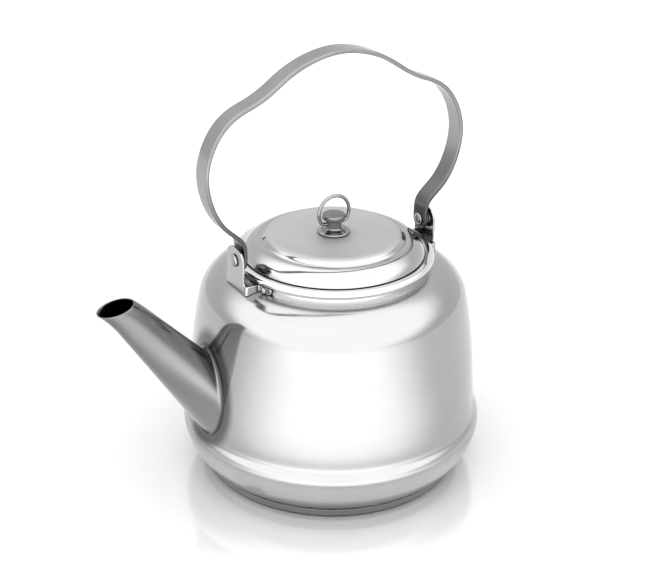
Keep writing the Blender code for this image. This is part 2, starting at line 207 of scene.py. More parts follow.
def bent_sheet(outer, thickness):
    """Closed section of a bent sheet: outer line, round edge, line moved in by the thickness, round edge.

    An edge's point is middle + thickness / 2 * (cos(t) * normal + sin(t) * along), t from 0 to half a turn.
    """
    along, normal = headings(outer)
    half = thickness / 2.0
    turn = np.linspace(0.0, math.pi, 9)[1:-1, None]
    middle = outer - half * normal
    tail = middle[-1] + half * (np.cos(turn) * normal[-1] + np.sin(turn) * along[-1])
    head = middle[0] - half * (np.cos(turn) * normal[0] + np.sin(turn) * along[0])
    return np.vstack([outer, tail, (outer - thickness * normal)[::-1], head])


# ---------------------------------------------------------------- surfaces


def skin(name, grid, wrap_rows=False, wrap_columns=True, flat=None, sharp=35.0):
    """Mesh object over a grid of points (rows, columns, 3) in millimetres.

    Equal points are welded, a face with no area is dropped, and all faces are turned round if the volume
    that they close comes out negative. flat holds a (u, v) in millimetres for each point, for the UV map.
    """
    rows, columns = grid.shape[:2]
    index = np.arange(rows * columns).reshape(rows, columns)
    if wrap_rows:
        index = np.vstack([index, index[:1]])
    if wrap_columns:
        index = np.hstack([index, index[:, :1]])
    quads = np.stack([index[:-1, :-1], index[:-1, 1:], index[1:, 1:], index[1:, :-1]], axis=-1)
    quads = quads.reshape(-1, 4)
    merged = np.round(grid.reshape(-1, 3), 3)
    _, first, same = np.unique(merged, axis=0, return_index=True, return_inverse=True)
    points = grid.reshape(-1, 3)[first]
    quads = same.reshape(-1)[quads]
    doubled = quads == np.roll(quads, -1, axis=1)
    count = doubled.sum(axis=1)
    triangles = quads[count == 1][~doubled[count == 1]].reshape(-1, 3)
    quads = quads[count == 0]
    fan = np.vstack([quads[:, :3], quads[:, [0, 2, 3]], triangles])
    if np.linalg.det(points[fan]).sum() < 0:
        quads, triangles = quads[:, ::-1], triangles[:, ::-1]
    mesh = bpy.data.meshes.new(name)
    mesh.from_pydata((points * MM).tolist(), [], quads.tolist() + triangles.tolist())
    if flat is not None:
        corner = np.empty(len(mesh.loops), np.int32)
        mesh.loops.foreach_get("vertex_index", corner)
        layer = mesh.uv_layers.new(name="Along")
        layer.data.foreach_set("uv", (flat.reshape(-1, 2)[first][corner] * MM).ravel())
    mesh.shade_smooth()
    mesh.set_sharp_from_angle(angle=math.radians(sharp))
    piece = bpy.data.objects.new(name, mesh)
    bpy.context.collection.objects.link(piece)
    return piece


def turned_grid(section, steps=ROUND_STEPS):
    """(r cos t, r sin t, z) for each (r, z) of the section and each of the steps of a full turn t."""
    turn = np.arange(steps) * math.tau / steps
    radius, height = section[:, :1], section[:, 1:]
    return np.stack(np.broadcast_arrays(radius * np.cos(turn), radius * np.sin(turn), height), axis=-1)


def turned(name, section, steps=ROUND_STEPS):
    """Section of (radius, height) spun round Z. One that doesn't start on the axis is a closed loop."""
    section = np.asarray(section, float)
    return skin(name, turned_grid(section, steps), wrap_rows=section[0, 0] > 0.0)


def lying(grid, outward, height):
    """The turned grid laid over, so that its axis is the level direction outward at that height.

    (x, y, z) becomes z * outward + y * aside + (x + height) * up, with aside level and square to outward.
    """
    aside = np.array([-outward[1], outward[0], 0.0])
    return grid[..., 2:] * outward + grid[..., 1:2] * aside + (grid[..., :1] + height) * UP


def edged_plate(name, upper, lower, place, thickness, edge, across=8):
    """Closed plate between two edge lines that meet at both ends, its edges rounded, bent into its place.

    Each edge line is moved in by the rounding e to a core line. A point at t on the edge, t from 0 to half a
    turn, is e * sin(t) out from the core line and +-(thickness / 2 - e) + e * cos(t) off the plate's middle.
    Between the core lines both faces are straight. place(u, v, depth) carries the flat plate to its place.
    """
    half = thickness / 2.0
    turn = np.linspace(0.0, math.pi, 10)
    out = edge * np.sin(turn)
    depth = edge * np.cos(turn) + np.where(turn < math.pi / 2.0, 1.0, -1.0) * (half - edge)
    upper_normal = headings(upper)[1]
    lower_normal = -headings(lower)[1]
    for normal in (upper_normal, lower_normal):
        normal[0] = (-1.0, 0.0)
        normal[-1] = (1.0, 0.0)
    upper_core = upper - edge * upper_normal
    lower_core = lower - edge * lower_normal
    blend = np.linspace(0.0, 1.0, across + 2)[1:-1, None]
    down = upper_core[:, None] * (1.0 - blend) + lower_core[:, None] * blend
    upper_edge = upper_core[:, None] + out[:, None] * upper_normal[:, None]
    lower_edge = lower_core[:, None] + out[::-1, None] * lower_normal[:, None]
    flat = np.concatenate([upper_edge, down, lower_edge, down[:, ::-1]], axis=1)
    level = np.concatenate([depth, np.full(across, -half), depth[::-1], np.full(across, half)])
    grid = place(flat[..., 0], flat[..., 1], np.broadcast_to(level, flat.shape[:2]))
    return skin(name, grid, flat=flat)


def peg_grid(start, end, radius, sides=32):
    """Round bar with flat ends, not upright: rows start, start + circle, end + circle and end.

    circle is radius * (cos(t) * across + sin(t) * other), with across and other square to the bar.
    """
    along = (end - start) / np.linalg.norm(end - start)
    across = np.cross(along, UP)
    across /= np.linalg.norm(across)
    other = np.cross(along, across)
    turn = (np.arange(sides)[:, None] + 0.5) * math.tau / sides
    circle = radius * (np.cos(turn) * across + np.sin(turn) * other)
    return np.stack([start + 0.0 * circle, start + circle, end + circle, end + 0.0 * circle])


def drill(piece, bars, sharp=35.0):
    """The piece with a round hole through it for each (start, end, radius)."""
    for start, end, radius in bars:
        drill_bar = skin("drill", peg_grid(np.array(start, float), np.array(end, float), radius))
        boolean = piece.modifiers.new("Hole", "BOOLEAN")
        boolean.operation = "DIFFERENCE"
        boolean.solver = "EXACT"
        boolean.object = drill_bar
    graph = bpy.context.evaluated_depsgraph_get()
    holed = bpy.data.meshes.new_from_object(piece.evaluated_get(graph))
    for boolean in list(piece.modifiers):
        drill_bar = boolean.object
        piece.modifiers.remove(boolean)
        bpy.data.objects.remove(drill_bar)
    solid = piece.data
    piece.data = holed
    bpy.data.meshes.remove(solid)
    holed.name = piece.name
    holed.shade_smooth()
    holed.set_sharp_from_angle(angle=math.radians(sharp))
    return piece


# ---------------------------------------------------------------- body, base and neck


def body_line():
    """Outer face: level shoulder, round turn into the near-straight wall, hollow crease, bead, undercut."""
    shoulder = [(MOUTH_RADIUS, SHOULDER_TOP), (64.0, 140.6), (68.0, 139.8), (75.0, 137.4), (81.0, 133.2)]
    wall = [(85.6, 127.4), (88.6, 118.0), (91.9, 98.0), (94.2, 76.0), (95.4, 56.0), (96.0, 46.0)]
    bead = [(96.2, 42.6), (96.8, 39.9), (98.7, 37.3), (99.8, 34.4), (100.0, 32.0)]
    under = [(99.2, 26.6), (97.1, 20.4), (93.3, 13.6), (87.7, 7.6)]
    return smooth(shoulder + wall + bead + under, 1.2)


def shoulder_height(radius):
    """Height of the body's outer face at a radius on its shoulder."""
    line = body_line()
    top = line[: int(np.argmax(line[:, 0] > 90.0))]
    return np.interp(radius, top[:, 0], top[:, 1])


def strainer_bars():
    """Holes behind the spout: rows of 2, 3, 4, 3 and 2, each row half a pitch aside from the last."""
    row = np.repeat([-2, -1, 0, 1, 2], [2, 3, 4, 3, 2])
    across = np.concatenate([np.arange(count) - (count - 1) / 2.0 for count in (2, 3, 4, 3, 2)])
    height = STRAINER_CENTRE + row * STRAINER_PITCH * 1.15
    places = zip(across * STRAINER_PITCH, height)
    return [((-112.0, y, z), (-70.0, y, z), STRAINER_HOLE) for y, z in places]


def make_body_shell():
    """The body's bent sheet spun round, with the strainer's holes."""
    return drill(turned("body", bent_sheet(body_line(), SHEET)), strainer_bars())


def make_base():
    """Flat pan: level floor, small round turn up into a flange, a seam groove and a rolled lower edge."""
    seam = BASE_SEAM_RADIUS
    top = [(0.0, 1.2), (seam - 3.9, 1.2), (seam - 2.2, 3.0), (seam - 2.2, 7.0), (seam, 7.0)]
    side = [(seam, 5.6), (seam - 1.0, 4.8), (seam - 1.2, 2.2), (seam - 2.9, 0.0), (0.0, 0.0)]
    radii = (1.2, 1.2, 0.2, 0.3, 0.5, 0.4, 0.9, 1.6)
    return turned("base", rounded(top + side, radii))


def make_neck():
    """Short upright neck whose top is rolled outward into a hollow bead and curled back down inside."""
    curl = [(58.6, 146.5), (58.4, 148.4), (59.6, 149.9)]
    bead = [(62.2, 150.4), (64.7, 149.7), (65.6, 148.1), (64.8, 146.5), (62.9, 145.8)]
    root = [(62.1, 144.8), (NECK_RADIUS, 143.4), (NECK_RADIUS, NECK_FOOT + 0.4)]
    neck = turned("neck", bent_sheet(smooth(curl + bead + root, 0.35), SHEET))
    return drill(neck, wing_bores(-1) + wing_bores(1))


# ---------------------------------------------------------------- spout


def spout_frame():
    """Unit axis of the spout, the direction square to it in the kettle's middle plane, and its length."""
    axis = np.array([-math.sin(SPOUT_LEAN), 0.0, math.cos(SPOUT_LEAN)])
    raised = np.array([math.cos(SPOUT_LEAN), 0.0, math.sin(SPOUT_LEAN)])
    return axis, raised, (SPOUT_MOUTH - SPOUT_ROOT) @ axis


def spout_rim(turn):
    """cos(t) * raised + sin(t) * aside for each t, the unit circle square to the spout's axis."""
    raised = spout_frame()[1]
    return np.cos(turn)[:, None] * raised + np.sin(turn)[:, None] * ASIDE


def spout_meeting(turn, spread):
    """Where the cone, widened by spread, meets the body's face, by halving the distance along its lines."""
    axis = spout_frame()[0]
    line = body_line()[::-1]
    rim = spout_rim(turn)
    low, high = np.full(len(turn), -40.0), np.full(len(turn), 40.0)
    for _ in range(40):
        middle = (low + high) / 2.0
        radius = (SPOUT_ROOT_RADIUS + spread - SPOUT_TAPER * middle)[:, None]
        point = SPOUT_ROOT + middle[:, None] * axis + radius * rim
        inside = np.hypot(point[:, 0], point[:, 1]) < np.interp(point[:, 2], line[:, 1], line[:, 0])
        low = np.where(inside, middle, low)
        high = np.where(inside, high, middle)
    return point, middle


def cone_rows(turn, start, inset, count):
    """Rows of the cone, moved in by inset, from the start distances along its axis to just below the lip.

    A point at distance d is root + d * axis + (root radius - inset - taper * d) * rim.
    """
    axis, _, length = spout_frame()
    share = np.linspace(0.0, 1.0, count)[:, None]
    distance = start * (1.0 - share) + (length - LIP_START) * share
    radius = SPOUT_ROOT_RADIUS - inset - SPOUT_TAPER * distance
    return SPOUT_ROOT + distance[..., None] * axis + radius[..., None] * spout_rim(turn)


def lip_rows(turn, below, inset, count):
    """Rows that carry the cone's last row to the slanted oval lip by a smooth quarter-bend curve.

    Each line is last * (1 - s)^2 + 2 * knee * s * (1 - s) + lip * s^2, where knee lies straight on from it.
    """
    tilted = np.array([math.cos(LIP_TILT), 0.0, math.sin(LIP_TILT)])
    lip = SPOUT_MOUTH + (LIP_LENGTH - inset) * np.cos(turn)[:, None] * tilted
    lip = lip + (LIP_WIDTH - inset) * np.sin(turn)[:, None] * ASIDE
    along = below[-1] - below[-2]
    along /= np.linalg.norm(along, axis=1, keepdims=True)
    reach = np.linalg.norm(lip - below[-1], axis=1, keepdims=True)
    knee = below[-1] + 0.55 * reach * along
    s = np.linspace(0.0, 1.0, count + 1)[1:, None, None]
    return below[-1] * (1.0 - s) ** 2 + 2.0 * knee * s * (1.0 - s) + lip * s**2


def make_spout():
    """Outer skin from a flared root to the lip, a half-round lip, and the inner skin back to the wall.

    The flare is foot * (1 - s)^2 + 2 * corner * s * (1 - s) + cone * s^2, with corner where the bare cone
    would meet the wall.
    """
    turn = np.arange(SPOUT_STEPS) * math.tau / SPOUT_STEPS
    fillet = np.interp(np.cos(turn), (-1.0, 1.0), SPOUT_FILLET)
    foot, _ = spout_meeting(turn, fillet)
    corner, at_corner = spout_meeting(turn, 0.0)
    outer = cone_rows(turn, at_corner + fillet + 1.5, 0.0, 40)
    s = np.linspace(0.0, 1.0, 10)[:-1, None, None]
    root = foot * (1.0 - s) ** 2 + 2.0 * corner * s * (1.0 - s) + outer[0] * s**2
    outer = np.concatenate([outer, lip_rows(turn, outer, 0.0, 12)])
    _, at_inner = spout_meeting(turn, -SPOUT_WALL)
    inner = cone_rows(turn, at_inner - 0.3, SPOUT_WALL, 40)
    inner = np.concatenate([inner, lip_rows(turn, inner, SPOUT_WALL, 12)])
    middle = (outer[-1] + inner[-1]) / 2.0
    ahead = outer[-1] - outer[-2]
    ahead /= np.linalg.norm(ahead, axis=1, keepdims=True)
    roll = np.linspace(0.0, math.pi, 7)[1:-1, None, None]
    lip = middle + np.cos(roll) * (outer[-1] - middle) + np.sin(roll) * ahead * SPOUT_WALL / 2.0
    hidden_foot = foot[None] * 0.998
    rows = np.concatenate([hidden_foot, root, outer, lip, inner[::-1]])
    return skin("spout", rows, wrap_rows=True, sharp=50.0)


# ---------------------------------------------------------------- ears, rivets and washers


def ear_middle():
    """Distance of the ear's middle sheet from the kettle's axis."""
    return STRAP_LEG + STRAP_THICKNESS / 2.0 + WASHER_THICKNESS + 2.0 * GAP + EAR_THICKNESS / 2.0


def ear_plan():
    """Middle line of an ear seen from above: across the tab, round two bends, then hugging the neck."""
    tab = ear_middle()
    web = EAR_HALF_WIDTH + WEB_OFFSET
    meeting = math.asin(web / WING_RADIUS)
    hug = np.linspace(meeting + 0.02, WING_END_ANGLE, 8)
    corner = [(tab, 0.0), (tab, web), (WING_RADIUS * math.cos(meeting), web)]
    circle = np.stack([WING_RADIUS * np.cos(hug), WING_RADIUS * np.sin(hug)], axis=1)
    half = rounded(np.vstack([corner, circle[1:]]), [1.6, 1.6] + [0.1] * 6)
    half = resampled(half, 120)
    return np.vstack([half[:0:-1] * (1.0, -1.0), half])


def make_ear(name, side):
    """Upright tab with a superellipse top, and a low wing on each side that wraps back to the neck."""
    plan = ear_plan()
    length = lengths(plan)
    reach = length[-1] / 2.0
    length -= reach
    along, normal = headings(plan)
    foot_height = shoulder_height(np.hypot(plan[:, 0], plan[:, 1])) + 0.15
    middle_height = (WING_TOP + foot_height[0]) / 2.0

    rise = EAR_TOP - PIVOT_HEIGHT
    swing = np.linspace(0.0, math.pi / 2.0, 40)
    tab_v = PIVOT_HEIGHT + rise * (1.0 - np.sin(swing) ** 2.4) ** (1.0 / 2.4)
    tab = np.stack([EAR_HALF_WIDTH * np.sin(swing), tab_v], axis=1)
    side_line = [(EAR_HALF_WIDTH, PIVOT_HEIGHT - 0.6), (EAR_HALF_WIDTH, WING_TOP), (reach, WING_TOP)]
    wing = rounded(side_line + [(reach, middle_height)], (1.2, 1.6))
    half = resampled(np.vstack([tab[:-1], wing]), 150)
    upper = np.vstack([half[:0:-1] * (-1.0, 1.0), half])

    order = np.linspace(-1.0, 1.0, len(upper))
    spread = np.interp(np.abs(order), [0.0, 0.62, 1.0], [0.0, EAR_HALF_WIDTH + 1.5, reach]) * np.sign(order)
    lower_u = np.maximum.accumulate(0.35 * spread + 0.65 * upper[:, 0])
    foot = np.interp(lower_u, length, foot_height)
    corner = np.clip((reach - np.abs(lower_u)) / 1.6, 0.0, 1.0)
    lift = (middle_height - foot) * (1.0 - np.sqrt(1.0 - (1.0 - corner) ** 2))
    lower = np.stack([lower_u, foot + lift], axis=1)
    lower[0], lower[-1] = upper[0], upper[-1]

    def place(u, v, depth):
        x = np.interp(u, length, plan[:, 0]) - depth * np.interp(u, length, normal[:, 0])
        y = np.interp(u, length, plan[:, 1]) - depth * np.interp(u, length, normal[:, 1])
        return np.stack([side * x, side * y, v], axis=-1)

    ear = edged_plate(name, upper, lower, place, EAR_THICKNESS, EAR_EDGE, across=14)
    return drill(ear, [pivot_bore(side)] + wing_bores(side))


def pivot_bore(side):
    """Bar through the strap's end and the ear on one side, for the rivet that the handle turns on."""
    return (side * 60.0, 0.0, PIVOT_HEIGHT), (side * 80.0, 0.0, PIVOT_HEIGHT), PIVOT_HOLE


def wing_bores(side):
    """Bars through both wings of one ear and the neck behind them."""
    bars = []
    for angle in (-WING_RIVET_ANGLE, WING_RIVET_ANGLE):
        outward = side * np.array([math.cos(angle), math.sin(angle), 0.0])
        base = WING_RIVET_HEIGHT * UP
        bars.append((base + 57.0 * outward, base + 68.0 * outward, WING_HOLE))
    return bars


def rivet_section(pin, faces, heights, radii):
    """Half section of a rivet along its own axis: a pin with an elliptical head on each end.

    faces are where the two heads sit, heights how far they stand off them, radii their radii, the tail's
    first. A head's point is (radius * sin(t), face + rim + (height - rim) * cos(t)).
    """
    low_face, high_face = faces
    low_radius, high_radius = radii
    rim, bevel = 0.35, 0.15
    low_dome, high_dome = np.array(heights) - rim
    swing = np.linspace(0.0, math.pi / 2.0, 10)
    head = np.stack([high_radius * np.sin(swing), high_face + rim + high_dome * np.cos(swing)], axis=1)
    tail = np.stack([low_radius * np.cos(swing), low_face - rim - low_dome * np.sin(swing)], axis=1)
    head[0, 0] = 0.0
    tail[-1, 0] = 0.0
    under_head = [(high_radius, high_face + 0.1), (high_radius - bevel, high_face), (pin, high_face)]
    over_tail = [(pin, low_face), (low_radius - bevel, low_face), (low_radius, low_face - 0.1)]
    return np.vstack([head, under_head, over_tail, tail])


def make_pivot_rivet(name, side):
    """Rivet through strap, washer and ear, its tail inside the strap and its head outside the ear."""
    strap_inside = STRAP_LEG - STRAP_THICKNESS / 2.0 - GAP
    ear_outside = ear_middle() + EAR_THICKNESS / 2.0 + GAP
    section = rivet_section(PIVOT_PIN, (strap_inside, ear_outside), (1.5, 2.0), PIVOT_HEADS)
    outward = np.array([side, 0.0, 0.0])
    return skin(name, lying(turned_grid(section, SMALL_STEPS), outward, PIVOT_HEIGHT))


def washer_section(hole, rim, low, high, edge):
    """Half section of a flat ring, its four corners rounded by edge."""
    seam = (4.0, high)
    return rounded([seam, (rim, high), (rim, low), (hole, low), (hole, high), seam], edge)[:-1]


def make_pivot_washer(name, side):
    """Spacer ring between the strap and the ear."""
    low = STRAP_LEG + STRAP_THICKNESS / 2.0 + GAP
    section = washer_section(PIVOT_HOLE, WASHER_RADIUS, low, low + WASHER_THICKNESS, 0.25)
    outward = np.array([side, 0.0, 0.0])
    return skin(name, lying(turned_grid(section, SMALL_STEPS), outward, PIVOT_HEIGHT), wrap_rows=True)


def make_wing_rivet(name, angle):
    """Small rivet through an ear's wing and the neck behind it."""
    wing_face = WING_RADIUS + EAR_THICKNESS / 2.0 + 0.1
    neck_face = NECK_RADIUS - SHEET - 0.1
    section = rivet_section(WING_PIN, (neck_face, wing_face), (1.1, 1.6), WING_HEADS)
    outward = np.array([math.cos(angle), math.sin(angle), 0.0])
    return skin(name, lying(turned_grid(section, 40), outward, WING_RIVET_HEIGHT))


# ---------------------------------------------------------------- handle


def strap_line():
    """Middle of the strap in the XZ plane: leg, reverse bend, side bow, wave and top arc, then mirrored."""
    leg = [(STRAP_LEG, PIVOT_HEIGHT - STRAP_WIDTH / 2.0), (STRAP_LEG, PIVOT_HEIGHT), (STRAP_LEG, 164.0)]
    bend = [(68.6, 171.2), (72.5, 175.9), (79.0, 181.8)]
    bow = [(86.3, 192.3), (91.0, 205.5), (92.4, 218.0), (90.2, 230.4), (85.3, 241.0), (77.5, 250.2)]
    wave = [(69.0, 255.6), (60.0, 259.2), (49.0, 264.9), (41.0, 270.4)]
    top = [(30.6, 276.6), (16.0, 282.0), (0.0, 284.2)]
    half = leg + bend + bow + wave + top
    return smooth(half + [(-x, z) for x, z in half[-2::-1]], 0.6)


def make_strap():
    """Flat steel strap: a long plate with half-round ends, bent along its middle line."""
    line = strap_line()
    length = lengths(line)
    normal = headings(line)[1]
    half = STRAP_WIDTH / 2.0
    swing = np.linspace(0.0, math.pi / 2.0, 16)
    tip = np.stack([half - half * np.cos(swing), half * np.sin(swing)], axis=1)
    run = np.linspace(half, length[-1] - half, 330)[1:-1]
    straight = np.stack([run, np.full(len(run), half)], axis=1)
    far_tip = np.stack([length[-1] - tip[::-1, 0], tip[::-1, 1]], axis=1)
    upper = np.vstack([tip, straight, far_tip])
    lower = upper * (1.0, -1.0)

    def place(u, v, depth):
        x = np.interp(u, length, line[:, 0]) + depth * np.interp(u, length, normal[:, 0])
        z = np.interp(u, length, line[:, 1]) + depth * np.interp(u, length, normal[:, 1])
        return np.stack([x, v, z], axis=-1)

    strap = edged_plate("handle", upper, lower, place, STRAP_THICKNESS, STRAP_EDGE)
    return drill(strap, [pivot_bore(-1), pivot_bore(1)])


# ---------------------------------------------------------------- lid, knob and ring


def make_lid():
    """Pressed lid: level top, quick step down to a narrow groove, then a full round bead to the rim."""
    top = [(2.3, LID_TOP), (20.0, LID_TOP), (38.0, LID_TOP), (41.6, LID_TOP - 0.02)]
    step = [(43.4, LID_TOP - 0.6), (44.7, 161.0), (45.6, 159.8), (46.8, 159.1), (48.4, 159.1)]
    bead = [(50.6, 158.8), (53.4, 157.7), (56.4, 155.6), (58.6, 152.9), (59.5, 150.9)]
    flat = np.linspace(top[0], top[1], 14)[:-1]
    lid = turned("lid", bent_sheet(np.vstack([flat, smooth(top[1:] + step + bead, 0.45)]), SHEET))
    outward = np.array([math.cos(VENT_ANGLE), math.sin(VENT_ANGLE), 0.0])
    vent = (41.8 * outward + 157.2 * UP, 48.8 * outward + 163.4 * UP, VENT_RADIUS)
    return drill(lid, [vent])


def make_skirt():
    """Plain ring under the lid: turned down from the lid's underside, straight, with its foot curled in."""
    turned_down = [(48.8, 157.5), (52.2, 156.5), (55.3, 154.3), (56.9, 151.6)]
    straight = [(57.0, 147.6), (57.0, 143.6), (56.4, 142.1)]
    return turned("lid_skirt_ring", bent_sheet(smooth(turned_down + straight, 0.5), SKIRT_SHEET))


def make_knob():
    """Spool knob: flat round-edged top, narrow waist, wide thin foot with a round rim, blind hole below."""
    top = [(0.0, KNOB_TOP), (KNOB_RADIUS, KNOB_TOP), (KNOB_RADIUS, 172.4), (KNOB_WAIST, 171.2)]
    foot = [(KNOB_WAIST, 165.6), (KNOB_WAIST + 2.4, 164.9), (KNOB_FOOT_RADIUS, 164.5)]
    under = [(KNOB_FOOT_RADIUS, KNOB_BOTTOM), (SCREW_HOLE, KNOB_BOTTOM), (SCREW_HOLE, 167.2), (0.0, 167.2)]
    radii = (1.1, 0.8, 0.9, 1.6, 1.2, 0.5, 0.4, 0.2, 0.2)
    knob = turned("knob", rounded(top + foot + under, radii, 8), SMALL_STEPS)
    reach = KNOB_RADIUS + 1.0
    cross_hole = ((-reach, 0.0, RING_HINGE_HEIGHT), (reach, 0.0, RING_HINGE_HEIGHT), RING_HOLE)
    return drill(knob, [cross_hole])


def make_knob_screw():
    """Pan-head screw up through the lid into the knob, its head inside the lid."""
    shank = [(0.0, 166.9), (SCREW_RADIUS, 166.9), (SCREW_RADIUS, 160.7)]
    head = [(SCREW_HEAD, 160.7), (SCREW_HEAD, 159.6), (SCREW_HEAD - 0.8, 158.9), (0.0, 158.9)]
    return turned("screw", rounded(shank + head, (0.4, 0.1, 0.2, 0.5, 0.5)), SMALL_STEPS)


def make_knob_washer():
    """Thin ring between the screw's head and the lid."""
    return turned("screw_washer", washer_section(SCREW_HOLE, 5.6, 161.0, 161.7, 0.15), SMALL_STEPS)


def make_ring():
    """Wire ring standing on the knob, its two ends turned inward into the cross hole.

    The middle line is centre + radius * (cos(t), sin(t)) with a spline into each end. The wire round it is
    wire * (cos(a) * normal + sin(a) * aside), a little thinner at the two flat ends.
    """
    swing = np.radians(np.arange(-30.0, 91.0, 5.0))
    arc = np.stack([RING_RADIUS * np.cos(swing), RING_CENTRE + RING_RADIUS * np.sin(swing)], axis=1)
    ends = [(2.3, RING_HINGE_HEIGHT), (5.2, RING_HINGE_HEIGHT), (7.4, RING_HINGE_HEIGHT + 0.15)]
    half = np.vstack([smooth(ends + arc[:3].tolist(), 0.4), arc[3:]])
    line = resampled(np.vstack([half, half[-2::-1] * (-1.0, 1.0)]), 180)
    normal = headings(line)[1]
    middle = np.stack([line[:, 0], np.zeros(len(line)), line[:, 1]], axis=1)[:, None]
    across = np.stack([normal[:, 0], np.zeros(len(line)), normal[:, 1]], axis=1)[:, None]
    wire = np.full((len(line), 1, 1), RING_WIRE)
    wire[[0, -1]] -= 0.25
    turn = (np.arange(20) * math.tau / 20)[:, None]
    tube = middle + wire * (np.cos(turn) * across + np.sin(turn) * ASIDE)
    first = np.broadcast_to(middle[:1], (1, 20, 3))
    last = np.broadcast_to(middle[-1:], (1, 20, 3))
    return skin("ring", np.concatenate([first, tube, last]))


# ---------------------------------------------------------------- finishes


class Finish:
    """Small helper that adds nodes to one steel finish and joins them."""

    def __init__(self, name):
        self.material = bpy.data.materials.new(name)
        self.material.use_nodes = True
        self.tree = self.material.node_tree
        self.shader = self.tree.nodes["Principled BSDF"]
        self.column = 0

    def node(self, kind, **settings):
        node = self.tree.nodes.new(kind)
        self.column += 1
        node.location = (-2200 + 180 * self.column, -160 * (self.column % 4))
        for key, value in settings.items():
            setattr(node, key, value)
        return node

    def join(self, source, target):
        self.tree.links.new(source, target)

    def maths(self, operation, first, second):
        node = self.node("ShaderNodeMath", operation=operation)
        for socket, value in zip(node.inputs, (first, second)):
            if hasattr(value, "links"):
                self.join(value, socket)
            else:
                socket.default_value = value
        return node.outputs[0]

    def vector_maths(self, operation, first, second=None):
        node = self.node("ShaderNodeVectorMath", operation=operation)
        self.join(first, node.inputs[0])
        if second is not None:
            node.inputs[1].default_value = second
        return node.outputs["Value" if operation in ("LENGTH", "DOT_PRODUCT") else "Vector"]

    def place(self):
        return self.node("ShaderNodeTexCoord").outputs["Object"]

    def plan(self):
        """The piece's flat plan, in metres along and across it."""
        return self.node("ShaderNodeUVMap", uv_map="Along").outputs["UV"]

    def about(self, centre, tilt):
        """Object coordinates measured from centre, in axes turned by tilt."""
        mapping = self.node("ShaderNodeMapping", vector_type="TEXTURE")
        mapping.inputs["Location"].default_value = centre
        mapping.inputs["Rotation"].default_value = tilt
        self.join(self.place(), mapping.inputs["Vector"])
        return mapping.outputs["Vector"]

    def level(self, vector):
        return self.vector_maths("MULTIPLY", vector, (1.0, 1.0, 0.0))

    def radius(self, vector):
        return self.vector_maths("LENGTH", self.level(vector))

    def part(self, vector, axis):
        split = self.node("ShaderNodeSeparateXYZ")
        self.join(vector, split.inputs[0])
        return split.outputs[axis]

    def bump(self, height, strength, distance):
        node = self.node("ShaderNodeBump")
        node.inputs["Strength"].default_value = strength
        node.inputs["Distance"].default_value = distance
        self.join(height, node.inputs["Height"])
        return node

    def noise(self, vector, scale, detail=3.0, roughness=0.55):
        node = self.node("ShaderNodeTexNoise")
        node.inputs["Scale"].default_value = scale
        node.inputs["Detail"].default_value = detail
        node.inputs["Roughness"].default_value = roughness
        self.join(vector, node.inputs["Vector"])
        return node.outputs["Fac"]

    def ranged(self, value, low, high, to_low, to_high, smooth_step=False):
        node = self.node("ShaderNodeMapRange")
        if smooth_step:
            node.interpolation_type = "SMOOTHSTEP"
        for name, number in zip(("From Min", "From Max", "To Min", "To Max"), (low, high, to_low, to_high)):
            node.inputs[name].default_value = number
        self.join(value, node.inputs["Value"])
        return node.outputs["Result"]


def turning_marks(finish, around=1.6, pitch=2600.0, centre=(0.0, 0.0, 0.0), tilt=(0.0, 0.0, 0.0)):
    """Fine lines round an axis: noise at (around * cos t, around * sin t, pitch * (z + r)), with no seam."""
    local = finish.about(centre, tilt)
    level = finish.level(local)
    circle = finish.vector_maths("MULTIPLY", finish.vector_maths("NORMALIZE", level), (around, around, 0.0))
    climb = finish.maths("ADD", finish.part(local, "Z"), finish.vector_maths("LENGTH", level))
    joined = finish.node("ShaderNodeCombineXYZ")
    finish.join(finish.part(circle, "X"), joined.inputs["X"])
    finish.join(finish.part(circle, "Y"), joined.inputs["Y"])
    finish.join(finish.maths("MULTIPLY", climb, pitch), joined.inputs["Z"])
    return finish.noise(joined.outputs[0], 1.0, detail=2.0), local


def long_marks(finish, along=40.0, across=2600.0):
    """Fine lines along a strap: noise stretched along the strap's own length, read from its flat plan."""
    mapping = finish.node("ShaderNodeMapping")
    mapping.inputs["Scale"].default_value = (along, across, 1.0)
    finish.join(finish.plan(), mapping.inputs["Vector"])
    return finish.noise(mapping.outputs["Vector"], 1.0, detail=2.0), finish.place()


def eased(finish, value, start, end, to_start, to_end):
    """Smooth step from to_start to to_end as the value, in millimetres, goes from start to end."""
    return finish.ranged(value, start * MM, end * MM, to_start, to_end, smooth_step=True)


